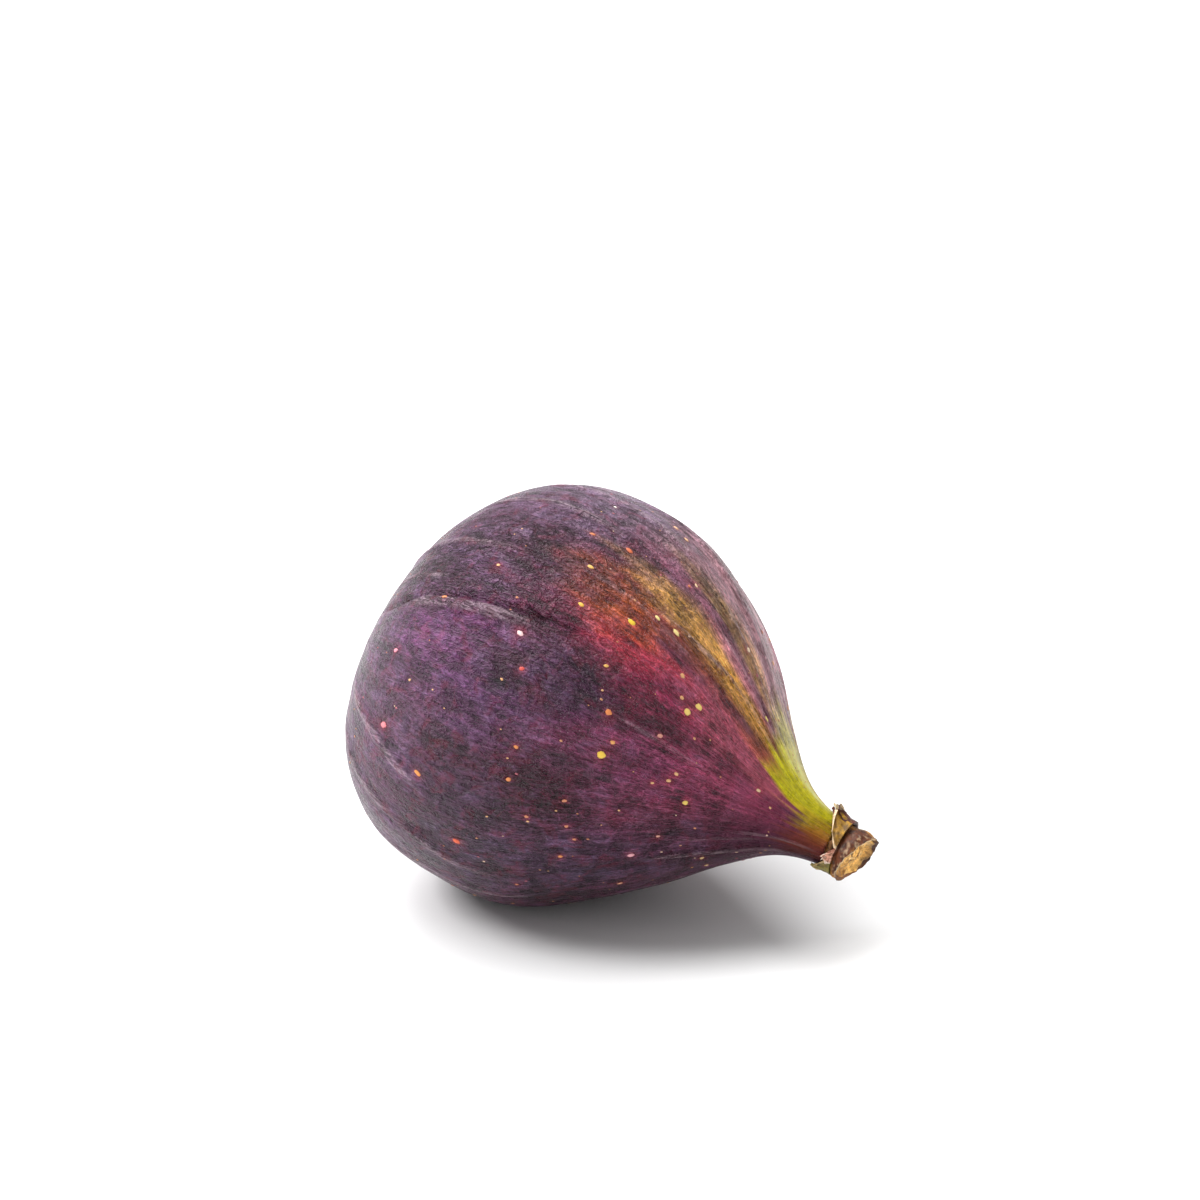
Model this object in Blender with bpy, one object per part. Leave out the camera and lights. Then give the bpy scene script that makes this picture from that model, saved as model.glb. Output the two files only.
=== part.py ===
"""A fresh fig lying on its side: the fruit with its neck, the cut woody stem and three small scales.

Everything is modelled standing up in the fig's own frame, with the blossom end at the bottom, the stem
at the top and the widest ring of the belly at z = 0. The empty "fig" then lays it down on the belly.
The laid-down frame has +X along the fig towards the stem, +Z up, and its origin on the surface that the
fig rests on, under the middle of the whole fig. Units are metres.
"""
import math

import bpy
import numpy as np
from mathutils import Matrix, Vector

# Fruit: the meridian, from the blossom end to the neck
BELLY_RADIUS = 0.0260
BASE_DEPTH = 0.0215          # belly's widest ring down to the blossom end
BASE_FULLNESS = 2.3          # 2 is an ellipse, more is squarer
NECK_HEIGHT = 0.0397         # belly's widest ring up to the end of the neck
NECK_RADIUS = 0.0030
SHOULDER = ((0.24, 0.0241), (0.41, 0.0202), (0.565, 0.0153), (0.72, 0.0091), (0.855, 0.0046))
EYE_RADIUS = 0.0030          # dimple at the blossom end
EYE_DEPTH = 0.0009

# Fruit: how it departs from a turned shape. Local +X faces up when the fig lies down.
BASE_DROOP = -0.0019         # the blossom end sags towards the resting side
SHOULDER_LIFT = 0.0009
SHOULDER_SWAY = -0.0004
OVAL = -0.024
THREE_LOBES = 0.015
LOBE_TURN = math.radians(-23)
RIB_COUNT = 9
RIB_DEPTH = 0.010            # share of the local radius, strongest on the shoulder
SAG_DEPTH = 0.0006           # the underside sags a little ahead of the widest ring
SAG_MIDDLE = 0.22            # share of NECK_HEIGHT
SAG_LENGTH = 0.28
SAG_SPREAD = math.radians(50)

# Resting place
NOSE_DOWN = math.radians(17)  # how far the stem end dips below level
FLAT_DEPTH = 0.0012           # the soft belly flattens by this much where it rests

# Stem
GAP = 0.0003
STUB_LENGTH = 0.0029
STUB_RADIUS = 0.0032          # at the cut face
STUB_TAPER = 0.0003          # the stub is this much slimmer at its root
CUT_HOLLOW = 0.0004          # the cut face dries hollow
STUB_BEND = math.radians(13)  # the cut stem leans away from the neck's line
BEND_TOWARDS = math.radians(150)

# Scales round the end of the neck: name, direction round the neck, half width (degrees), height
SCALES = (
    ("bract_front", 8, 50, 0.0036),
    ("bract_under", 142, 42, 0.0036),
    ("bract_back", -92, 40, 0.0040),
)
SCALE_THICKNESS = 0.00045
SCALE_FLARE = 0.0004         # how far the tip stands off the neck

SIDES = 60                   # facets round the fruit
BASE_RINGS = 15
NECK_RINGS = 24
STUB_SIDES = 28


def clear_scene():
    for item in list(bpy.data.objects):
        bpy.data.objects.remove(item, do_unlink=True)


def skin_material(name, colour, roughness):
    material = bpy.data.materials.new(name)
    material.use_nodes = True
    shader = material.node_tree.nodes["Principled BSDF"]
    shader.inputs["Base Color"].default_value = (*colour, 1.0)
    shader.inputs["Roughness"].default_value = roughness
    shader.inputs["Metallic"].default_value = 0.0
    return material


def smooth_curve(knots, values, where, end_slope):
    """A smooth curve through the knots that starts level and leaves with the given slope."""
    knots = np.array(knots)
    values = np.array(values)
    slopes = np.gradient(values, knots)
    slopes[0] = 0.0
    slopes[-1] = end_slope
    i = np.clip(np.searchsorted(knots, where) - 1, 0, len(knots) - 2)
    width = knots[i + 1] - knots[i]
    t = (where - knots[i]) / width
    rise = values[i] * (1 + 2 * t) * (1 - t) ** 2 + values[i + 1] * t * t * (3 - 2 * t)
    lean = slopes[i] * t * (1 - t) ** 2 - slopes[i + 1] * t * t * (1 - t)
    return rise + lean * width


def neck_radius(height):
    """Radius of the fruit above its widest ring, for one height or an array of them."""
    knots = [0.0] + [share for share, _ in SHOULDER] + [1.0]
    values = [BELLY_RADIUS] + [radius for _, radius in SHOULDER] + [NECK_RADIUS]
    return smooth_curve(knots, values, np.asarray(height) / NECK_HEIGHT, -0.0020)


def fruit_meridian():
    """Heights and radii of the rings, from just off the blossom end up to the end of the neck."""
    angle = np.linspace(0, math.pi / 2, BASE_RINGS + 1)[1:]
    base_height = -BASE_DEPTH * np.cos(angle) ** (2 / BASE_FULLNESS)
    base_radius = BELLY_RADIUS * np.sin(angle) ** (2 / BASE_FULLNESS)
    eye = np.clip(1 - (base_radius / EYE_RADIUS) ** 2, 0, 1)
    base_height = base_height + EYE_DEPTH * eye ** 2
    top_height = np.linspace(0, NECK_HEIGHT, NECK_RINGS + 1)[1:]
    heights = np.concatenate([base_height, top_height])
    radii = np.concatenate([base_radius, neck_radius(top_height)])
    return heights, radii


def centre_line(height):
    """Sideways place of the fruit's centre at a height, in local X and Y."""
    rise = np.clip(height / NECK_HEIGHT, 0, 1)
    sink = np.clip(-height / BASE_DEPTH, 0, 1)
    bulge = np.sin(math.pi * rise) ** 2
    return BASE_DROOP * sink ** 2 + SHOULDER_LIFT * bulge, SHOULDER_SWAY * bulge


def section_factor(angle, height, radius):
    """How the outline at one height swells and dips against a circle."""
    body = np.clip(radius / BELLY_RADIUS, 0, 1)
    shoulder = np.exp(-((height / NECK_HEIGHT - 0.55) / 0.35) ** 2)
    broad = OVAL * np.cos(2 * angle) + THREE_LOBES * np.cos(3 * (angle - LOBE_TURN))
    ribs = np.cos(RIB_COUNT * angle + 1.5 * np.sin(angle)) + 0.5 * np.cos(5 * angle + 2.0)
    round_under = (np.abs(angle) % (2 * math.pi) - math.pi) / SAG_SPREAD
    sag = np.exp(-((height / NECK_HEIGHT - SAG_MIDDLE) / SAG_LENGTH) ** 2 - round_under ** 2)
    return 1 + body * broad + RIB_DEPTH * shoulder * ribs + SAG_DEPTH / BELLY_RADIUS * sag


def solid_from_rings(name, rings, first_pole, last_pole):
    """A closed mesh from rings of equal length, stacked upwards and counter-clockwise from above."""
    count = len(rings[0])
    points = [Vector(first_pole)] + [Vector(point) for ring in rings for point in ring] + [Vector(last_pole)]
    last = len(points) - 1
    faces = []
    for j in range(count):
        k = (j + 1) % count
        faces.append((0, 1 + k, 1 + j))
        faces.append((last, last - count + j, last - count + k))
    for i in range(len(rings) - 1):
        low = 1 + i * count
        high = low + count
        for j in range(count):
            k = (j + 1) % count
            faces.append((low + j, low + k, high + k, high + j))
    mesh = bpy.data.meshes.new(name)
    mesh.from_pydata(points, [], faces)
    mesh.shade_smooth()
    mesh.update()
    return mesh


def flatten_resting_side(points, down):
    """Press the points that reach furthest down onto one plane."""
    depth = points @ down
    limit = depth.max() - FLAT_DEPTH
    over = np.clip(depth - limit, 0, None)
    return points - over[:, None] * down


def make_fruit(down):
    heights, radii = fruit_meridian()
    angle = np.linspace(0, 2 * math.pi, SIDES, endpoint=False)
    rings = []
    for height, radius in zip(heights, radii):
        shift_x, shift_y = centre_line(height)
        reach = radius * section_factor(angle, height, radius)
        ring = np.stack([shift_x + reach * np.cos(angle), shift_y + reach * np.sin(angle),
                         np.full(SIDES, height)], axis=1)
        rings.append(ring)
    points = flatten_resting_side(np.concatenate(rings), down)
    rings = points.reshape(len(heights), SIDES, 3)
    eye = (BASE_DROOP, 0, -BASE_DEPTH + EYE_DEPTH)
    mesh = solid_from_rings("fruit", rings, eye, (0, 0, NECK_HEIGHT))
    mesh.materials.append(skin_material("fig_skin", (0.085, 0.030, 0.055), 0.42))
    return bpy.data.objects.new("fruit", mesh)


def make_stub():
    """The cut woody stem: bark round a slightly hollow cut face, which leans away by its bend."""
    outline = (
        (0.00, STUB_RADIUS - STUB_TAPER - 0.0002),
        (0.12, STUB_RADIUS - STUB_TAPER),
        (0.50, STUB_RADIUS - STUB_TAPER / 2),
        (0.85, STUB_RADIUS),
        (1.00, STUB_RADIUS - 0.0002),
    )
    lean = math.tan(STUB_BEND)
    angle = np.linspace(0, 2 * math.pi, STUB_SIDES, endpoint=False)
    circle = np.stack([np.cos(angle), np.sin(angle), -lean * np.cos(angle - BEND_TOWARDS)], axis=1)
    rings = []
    for share, radius in outline + ((1.00, STUB_RADIUS - 0.0007),):
        aside = lean * STUB_LENGTH * share ** 2 / 2
        centre = np.array([aside * math.cos(BEND_TOWARDS), aside * math.sin(BEND_TOWARDS), STUB_LENGTH * share])
        rings.append(circle * radius * (1, 1, share) + centre)
    sink = np.array([0, 0, CUT_HOLLOW])
    rings[-1] = rings[-1] - sink
    mesh = solid_from_rings("stem_stub", rings, (0, 0, 0), centre - sink)
    mesh.materials.append(skin_material("cut_stem", (0.34, 0.20, 0.08), 0.80))
    stub = bpy.data.objects.new("stem_stub", mesh)
    stub.location = (0, 0, NECK_HEIGHT + GAP)
    return stub


def scale_point(across, along, face, direction, half_width, height):
    """One point of a scale: across -1..1, along 0 (root) to 1 (tip), on the inner or outer face."""
    taper = (1 - along ** 2.2) * 0.94 + 0.06
    angle = direction + across * half_width * taper
    drop = along * height * (1 - 0.15 * across ** 2)
    z = NECK_HEIGHT - 0.0002 - drop
    shape = section_factor(np.array(angle), np.array(z), neck_radius(z))
    edge_thin = 1 - 0.6 * across ** 2
    tip_thin = 1 - 0.5 * along
    reach = float(neck_radius(z) * shape) + GAP + SCALE_FLARE * along ** 2
    reach += SCALE_THICKNESS * face * max(edge_thin * tip_thin, 0.3)
    shift_x, shift_y = centre_line(z)
    return (shift_x + reach * math.cos(angle), shift_y + reach * math.sin(angle), z)


def make_scale(name, direction, half_width, height):
    """A small pointed scale that wraps the end of the neck, with its tip towards the body."""
    across_steps = np.linspace(-1, 1, 11)
    along_steps = np.linspace(0, 1, 8)
    across_count = len(across_steps)
    along_count = len(along_steps)
    args = (math.radians(direction), math.radians(half_width), height)
    points = [scale_point(a, b, face, *args) for face in (0, 1) for b in along_steps for a in across_steps]
    outer = across_count * along_count
    faces = []
    for i in range(along_count - 1):
        for j in range(across_count - 1):
            p = i * across_count + j
            square = (p, p + 1, p + 1 + across_count, p + across_count)
            faces.append(square)
            faces.append(tuple(outer + q for q in reversed(square)))
    root = list(range(across_count))
    right = [i * across_count + across_count - 1 for i in range(along_count)]
    tip = [(along_count - 1) * across_count + j for j in reversed(range(across_count))]
    left = [i * across_count for i in reversed(range(along_count))]
    edge = root + right[1:] + tip[1:] + left[1:]
    for p, q in zip(edge, edge[1:]):
        faces.append((q, p, outer + p, outer + q))
    mesh = bpy.data.meshes.new(name)
    mesh.from_pydata([Vector(point) for point in points], [], faces)
    mesh.shade_smooth()
    mesh.materials.append(skin_material(name + "_dry", (0.36, 0.26, 0.10), 0.70))
    return bpy.data.objects.new(name, mesh)


def world_box(items):
    corners = [item.matrix_world @ vertex.co for item in items for vertex in item.data.vertices]
    low = Vector([min(corner[axis] for corner in corners) for axis in range(3)])
    high = Vector([max(corner[axis] for corner in corners) for axis in range(3)])
    return low, high


def main():
    clear_scene()
    lay_down = Matrix.Rotation(math.pi / 2 + NOSE_DOWN, 4, "Y") @ Matrix.Rotation(math.pi, 4, "Z")
    down = np.array(lay_down.inverted() @ Vector((0, 0, -1)))
    pieces = [make_fruit(down), make_stub()]
    pieces += [make_scale(*scale) for scale in SCALES]
    fig = bpy.data.objects.new("fig", None)
    fig.matrix_world = lay_down
    bpy.context.scene.collection.objects.link(fig)
    for piece in pieces:
        piece.parent = fig
        bpy.context.scene.collection.objects.link(piece)
    bpy.context.view_layer.update()
    low, high = world_box(pieces)
    middle = (low + high) / 2
    fig.location = (-middle.x, -middle.y, -low.z)
    bpy.context.view_layer.update()


main()
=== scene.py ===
"""Looks of a fresh fig that lies on its side: skin, cut stem, dry scales and the eye at the blossom end.

The fig is drawn in its own frame, as in the CAD: the stem points up local +Z, the widest ring of the belly
is at height 0, and local +X is the side that faces up once the fig lies down. A place on the skin is given
by its angle round the fig, from local +X towards local +Y, and by its share of the way along the skin from
the eye (0) to the end of the neck (1). Lengths are in metres, except where a name ends in _MM.
"""
import math

import bpy
import numpy as np
from mathutils import Matrix, Vector


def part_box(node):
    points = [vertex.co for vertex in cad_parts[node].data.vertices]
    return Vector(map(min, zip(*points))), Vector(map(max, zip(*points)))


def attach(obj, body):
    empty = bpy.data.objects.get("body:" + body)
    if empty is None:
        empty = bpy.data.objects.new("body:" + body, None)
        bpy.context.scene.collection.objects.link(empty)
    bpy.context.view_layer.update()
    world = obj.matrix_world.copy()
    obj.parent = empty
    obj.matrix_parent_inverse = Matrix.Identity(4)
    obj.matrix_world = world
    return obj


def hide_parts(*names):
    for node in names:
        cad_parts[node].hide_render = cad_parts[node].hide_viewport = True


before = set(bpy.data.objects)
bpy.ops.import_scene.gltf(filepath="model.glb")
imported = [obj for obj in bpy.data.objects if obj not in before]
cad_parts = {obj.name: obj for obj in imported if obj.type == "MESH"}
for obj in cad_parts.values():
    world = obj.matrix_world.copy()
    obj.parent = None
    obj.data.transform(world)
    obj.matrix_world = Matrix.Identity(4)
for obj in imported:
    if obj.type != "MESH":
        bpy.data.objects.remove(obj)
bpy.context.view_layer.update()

MM = 0.001
TURN = 2 * math.pi

# The fig's shape, as in the CAD
BELLY_RADIUS = 0.0260
BASE_DEPTH = 0.0215
BASE_FULLNESS = 2.3
NECK_HEIGHT = 0.0397
NECK_RADIUS = 0.0030
SHOULDER = ((0.24, 0.0241), (0.41, 0.0202), (0.565, 0.0153), (0.72, 0.0091), (0.855, 0.0046))
EYE_RADIUS = 0.0030
EYE_DEPTH = 0.0009
BASE_DROOP = -0.0019
SHOULDER_LIFT = 0.0009
SHOULDER_SWAY = -0.0004
OVAL = -0.024
THREE_LOBES = 0.015
LOBE_TURN = math.radians(-23)
SAG_DEPTH = 0.0006
SAG_MIDDLE = 0.22
SAG_LENGTH = 0.28
SAG_SPREAD = math.radians(50)
NOSE_DOWN = math.radians(17)
GAP = 0.0003
STUB_LENGTH = 0.0029
STUB_RADIUS = 0.0032
STUB_TAPER = 0.0003
STUB_BEND = math.radians(20)
BEND_TOWARDS = math.radians(128)

# Fineness of the meshes
SKIN_AROUND = 420
SKIN_ALONG = 228

# Camera: where it stands round the belly's middle, and how far the view is off it, to the right and up
CAMERA_AZIMUTH = math.radians(27.9)
CAMERA_ELEVATION = math.radians(20)
CAMERA_DISTANCE = 0.45
CAMERA_ASIDE = (0.0061, 0.0115)
LENS_MM = 112.1
SENSOR_MM = 36


# ---------------------------------------------------------------- numbers and noise

def smooth_step(low, high, value):
    t = np.clip((value - low) / (high - low), 0, 1)
    return t * t * (3 - 2 * t)


def wave_noise(around, along, cells_around, cells_along, seed):
    """Smooth noise from -1 to 1 over around and along, both 0 to 1. It closes on itself round the fig."""
    table = np.random.default_rng(seed).uniform(-1, 1, (cells_around, cells_along + 2))
    x = np.mod(around, 1) * cells_around
    y = np.clip(along, 0, 1) * cells_along
    i = np.floor(x).astype(int) % cells_around
    j = np.floor(y).astype(int)
    fx = x - np.floor(x)
    fy = y - j
    fx = fx * fx * (3 - 2 * fx)
    fy = fy * fy * (3 - 2 * fy)
    k = (i + 1) % cells_around
    low = table[i, j] * (1 - fx) + table[k, j] * fx
    high = table[i, j + 1] * (1 - fx) + table[k, j + 1] * fx
    return low * (1 - fy) + high * fy


def paint(code):
    """A screen colour such as "6a4050" as linear red, green and blue."""
    parts = np.array([int(code[i:i + 2], 16) / 255 for i in (0, 2, 4)])
    return np.where(parts <= 0.04045, parts / 12.92, ((parts + 0.055) / 1.055) ** 2.4)


# ---------------------------------------------------------------- the fig's surface

def smooth_curve(knots, values, where, end_slope):
    """A smooth curve through the knots that starts level and leaves with the given slope."""
    knots = np.array(knots)
    values = np.array(values)
    slopes = np.gradient(values, knots)
    slopes[0] = 0.0
    slopes[-1] = end_slope
    i = np.clip(np.searchsorted(knots, where) - 1, 0, len(knots) - 2)
    width = knots[i + 1] - knots[i]
    t = (where - knots[i]) / width
    rise = values[i] * (1 + 2 * t) * (1 - t) ** 2 + values[i + 1] * t * t * (3 - 2 * t)
    lean = slopes[i] * t * (1 - t) ** 2 - slopes[i + 1] * t * t * (1 - t)
    return rise + lean * width


def neck_radius(height):
    knots = [0.0] + [share for share, _ in SHOULDER] + [1.0]
    values = [BELLY_RADIUS] + [radius for _, radius in SHOULDER] + [NECK_RADIUS]
    return smooth_curve(knots, values, np.asarray(height) / NECK_HEIGHT, -0.0020)


def meridian():
    """Shares along the skin, with the height and radius at each."""
    angle = np.linspace(0, math.pi / 2, 600)
    base_height = -BASE_DEPTH * np.cos(angle) ** (2 / BASE_FULLNESS)
    base_radius = BELLY_RADIUS * np.sin(angle) ** (2 / BASE_FULLNESS)
    eye = np.clip(1 - (base_radius / EYE_RADIUS) ** 2, 0, 1)
    base_height = base_height + EYE_DEPTH * eye ** 2
    top_height = np.linspace(0, NECK_HEIGHT, 601)[1:]
    heights = np.concatenate([base_height, top_height])
    radii = np.concatenate([base_radius, neck_radius(top_height)])
    run = np.concatenate([[0], np.cumsum(np.hypot(np.diff(heights), np.diff(radii)))])
    return run / run[-1], heights, radii


SHARES, HEIGHTS, RADII = meridian()
SKIN_LENGTH = float(np.hypot(np.diff(HEIGHTS), np.diff(RADII)).sum())


def radius_at(share):
    return np.interp(share, SHARES, RADII)


def height_at(share):
    return np.interp(share, SHARES, HEIGHTS)


def centre_line(height):
    rise = np.clip(height / NECK_HEIGHT, 0, 1)
    sink = np.clip(-height / BASE_DEPTH, 0, 1)
    bulge = np.sin(math.pi * rise) ** 2
    return BASE_DROOP * sink ** 2 + SHOULDER_LIFT * bulge, SHOULDER_SWAY * bulge


def plain_point(angle, share):
    """A point of the CAD's plain shape, with its lobes and sag."""
    height = height_at(share)
    radius = radius_at(share)
    body = np.clip(radius / BELLY_RADIUS, 0, 1)
    broad = OVAL * np.cos(2 * angle) + THREE_LOBES * np.cos(3 * (angle - LOBE_TURN))
    round_under = (np.abs(angle) % TURN - math.pi) / SAG_SPREAD
    sag = np.exp(-((height / NECK_HEIGHT - SAG_MIDDLE) / SAG_LENGTH) ** 2 - round_under ** 2)
    reach = radius * (1 + body * broad + SAG_DEPTH / BELLY_RADIUS * sag)
    shift_x, shift_y = centre_line(height)
    return np.stack([shift_x + reach * np.cos(angle), shift_y + reach * np.sin(angle),
                     height + 0 * angle], axis=-1)


# Raised veins and creases: (angle, share) at one end, the same at the other, half width and height in mm.
# A negative height is a crease.
VEINS = (
    (-26, 0.40, -20, 0.90, 0.55, 0.22),
    (-14, 0.30, -9, 0.62, 0.60, 0.20),
    (-8, 0.62, 0, 0.90, 0.35, 0.20),
    (3, 0.26, 6, 0.52, 0.60, 0.18),
    (4, 0.66, 8, 0.92, 0.30, 0.22),
    (12, 0.88, 20, 0.60, 0.32, 0.24),
    (24, 0.44, 24, 0.70, 0.40, 0.12),
    (24, 0.12, 27, 0.42, 0.50, 0.20),
    (52, 0.26, 45, 0.48, 0.80, 0.35),
    (42, 0.18, 41, 0.34, 0.40, 0.16),
    (60, 0.80, 58, 0.62, 0.30, 0.12),
    (97, 0.99, 97, 0.86, 0.22, 0.16),
    (122, 0.96, 114, 0.74, 0.30, 0.26),
    (104, 0.92, 103, 0.78, 0.25, 0.12),
    (86, 0.20, 98, 0.44, 0.60, 0.22),
    (104, 0.20, 121, 0.56, 0.60, 0.24),
    (130, 0.30, 134, 0.62, 0.60, 0.18),
    (150, 0.86, 146, 0.60, 0.45, 0.16),
    (-46, 0.86, -44, 0.42, 0.50, 0.20),
    (-66, 0.90, -62, 0.50, 0.45, 0.18),
    (-88, 0.94, -92, 0.55, 0.40, 0.20),
    (-112, 0.88, -108, 0.34, 0.55, 0.22),
    (-140, 0.94, -150, 0.60, 0.40, 0.18),
    (-166, 0.90, -172, 0.44, 0.50, 0.16),
    (54, 0.185, 49, 0.30, 0.50, -0.50),
    (49, 0.29, 39, 0.57, 0.45, -0.40),
    (32, 0.40, 30, 0.24, 0.60, -0.22),
    (72, 0.30, 68, 0.52, 1.60, -0.22),
    (110, 0.46, 116, 0.36, 0.80, -0.25),
    (-76, 0.62, -80, 0.30, 1.20, -0.30),
    (-128, 0.70, -124, 0.42, 1.00, -0.25),
)


def vein_height(angle, share):
    """Height in metres of the veins (above zero) and creases (below zero)."""
    total = np.zeros(np.broadcast(angle, share).shape)
    for angle_a, share_a, angle_b, share_b, half_width, height in VEINS:
        if share_a > share_b:
            angle_a, share_a, angle_b, share_b = angle_b, share_b, angle_a, share_a
        part = np.clip((share - share_a) / (share_b - share_a), 0, 1)
        sway = 1.6 * wave_noise(angle * 0 + angle_a / 360, share, 40, 9, 5)
        middle = np.radians(angle_a + (angle_b - angle_a) * part + sway)
        aside = (angle - middle + math.pi) % TURN - math.pi
        distance = aside * np.maximum(radius_at(share), 0.002) / (half_width * MM)
        fade = 0.25 * (share_b - share_a)
        ends = smooth_step(share_a - 0.02, share_a + fade, share) * smooth_step(share_b + 0.02, share_b - fade, share)
        total = total + height * MM * np.exp(-distance ** 2) * ends
    return total


def relief(angle, share):
    """How far the real skin stands off the plain shape: lumps, fine ribs, veins and creases."""
    around = angle / TURN
    radius = radius_at(share)
    body = np.clip(radius / BELLY_RADIUS, 0, 1)
    calm = smooth_step(0.02, 0.12, share)
    lumps = 0.30 * wave_noise(around, share, 6, 4, 11) + 0.14 * wave_noise(around, share, 13, 9, 12)
    ribs = 0.09 * wave_noise(around, share, 36, 5, 21) + 0.06 * wave_noise(around, share, 71, 7, 22)
    fine = 0.022 * wave_noise(around, share, 190, 34, 31)
    return calm * (body * (lumps + fine) + (0.35 + 0.65 * body) * ribs) * MM + vein_height(angle, share)


def skin_point(angle, share, lift=0.0):
    """A point of the finished skin, and the way that the skin faces there. lift raises it off the skin."""
    step = 1e-3
    across = plain_point(angle + step, share) - plain_point(angle - step, share)
    along = plain_point(angle, share + step) - plain_point(angle, share - step)
    facing = np.cross(across, along)
    facing = facing / np.maximum(np.linalg.norm(facing, axis=-1, keepdims=True), 1e-12)
    return plain_point(angle, share) + facing * (relief(angle, share) + lift)[..., None], facing


# ---------------------------------------------------------------- where the fig lies

LAY_DOWN = Matrix.Rotation(math.pi / 2 + NOSE_DOWN, 4, "Y") @ Matrix.Rotation(math.pi, 4, "Z")


def place_of_fig():
    """The plain shape's box and the CAD fruit's box share their middle in X and Y and their top."""
    angle, share = np.meshgrid(np.linspace(-math.pi, math.pi, 181), np.linspace(0.002, 1, 161))
    turned = plain_point(angle, share).reshape(-1, 3) @ np.array(LAY_DOWN.to_3x3()).T
    low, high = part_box("fruit")
    middle = (low + high) / 2 - Vector((turned.min(0) + turned.max(0)) / 2)
    return Matrix.Translation((middle.x, middle.y, high.z - turned[:, 2].max())) @ LAY_DOWN


PLACE = place_of_fig()
TURNED = np.array(LAY_DOWN.to_3x3())


def rest_on_floor(points):
    """Local points, with those that would be under the floor pressed up onto it."""
    down = np.array(LAY_DOWN.inverted().to_3x3() @ Vector((0, 0, -1)))
    under = points @ down - PLACE.translation.z
    return points - np.clip(under, 0, None)[..., None] * down


# ---------------------------------------------------------------- meshes

def new_piece(name, points, faces, material, node):
    """A smooth mesh, given in the fig's frame, that rides on the fig and stands for a CAD node."""
    mesh = bpy.data.meshes.new(name)
    mesh.from_pydata((np.asarray(points) @ TURNED.T).tolist(), [], faces)
    mesh.shade_smooth()
    mesh.materials.append(material)
    piece = bpy.data.objects.new(name, mesh)
    bpy.context.scene.collection.objects.link(piece)
    piece.location = PLACE.translation
    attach(piece, "root")
    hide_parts(node)
    return piece


def add_values(piece, name, kind, values):
    field = "color" if kind == "FLOAT_COLOR" else "vector" if kind == "FLOAT_VECTOR" else "value"
    attribute = piece.data.attributes.new(name, kind, "POINT")
    attribute.data.foreach_set(field, np.asarray(values, dtype=np.float32).ravel())


def tube_faces(rings, around):
    """Quads of a closed tube of rings, and the fans that close it to a first and a last point."""
    faces = []
    last = 1 + rings * around
    for j in range(around):
        k = (j + 1) % around
        faces.append((0, 1 + k, 1 + j))
        faces.append((last, last - around + j, last - around + k))
    for i in range(rings - 1):
        low = 1 + i * around
        for j in range(around):
            k = (j + 1) % around
            faces.append((low + j, low + k, low + around + k, low + around + j))
    return faces


# ---------------------------------------------------------------- skin colour

# Lenticels that show: angle, share, length along the fig in mm, colour
SPOTS = (
    (0, 0.617, 0.5, "e8c8a0"), (3, 0.612, 0.4, "c87850"), (9, 0.518, 0.8, "c86a44"), (11, 0.464, 0.6, "c87850"),
    (22, 0.496, 0.7, "e0b060"), (22, 0.645, 0.9, "f0d890"), (23, 0.612, 0.7, "f0d890"), (30, 0.588, 0.9, "f0c840"),
    (34, 0.519, 0.7, "f0b850"), (46, 0.594, 0.5, "e0b060"), (49, 0.473, 0.7, "f0c8c8"), (58, 0.629, 0.7, "e08850"),
    (57, 0.500, 0.5, "d05850"), (48, 0.345, 0.6, "d88858"), (67, 0.310, 0.6, "e090a0"), (87, 0.342, 0.8, "e08088"),
    (93, 0.423, 0.8, "e09050"), (76, 0.539, 0.5, "d88850"), (85, 0.545, 0.5, "d88850"), (95, 0.582, 0.4, "c88060"),
    (109, 0.495, 0.8, "d86040"), (80, 0.786, 0.6, "e0c060"), (71, 0.647, 0.9, "f0c850"), (66, 0.654, 0.5, "e0a060"),
    (110, 0.635, 0.5, "d88850"), (111, 0.729, 0.7, "e0a0a8"), (100, 0.762, 0.5, "c89080"), (97, 0.636, 0.4, "c88060"),
    (102, 0.650, 0.4, "c88060"), (88, 0.624, 0.5, "c88060"), (57, 0.709, 0.6, "d09080"), (38, 0.735, 0.8, "e8c870"),
    (43, 0.725, 0.8, "e8c870"), (40, 0.707, 0.5, "d8a070"), (33, 0.690, 0.6, "d8a070"), (52, 0.879, 0.5, "d8b890"),
    (133, 0.710, 0.6, "e0a080"), (124, 0.829, 0.5, "c8a878"), (139, 0.832, 0.5, "c8a878"), (125, 0.576, 0.4, "c88060"),
    (68, 0.756, 0.5, "d8a878"), (72, 0.750, 0.5, "d8a878"), (75, 0.729, 0.4, "d8a878"), (-17, 0.525, 0.7, "e8b890"),
    (-15, 0.550, 0.6, "e8b890"), (-6, 0.450, 0.4, "f0e8e0"), (-6, 0.732, 0.5, "e8d0b0"), (5, 0.824, 0.6, "f0e080"),
    (34, 0.388, 0.4, "d8a878"),
)

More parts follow.
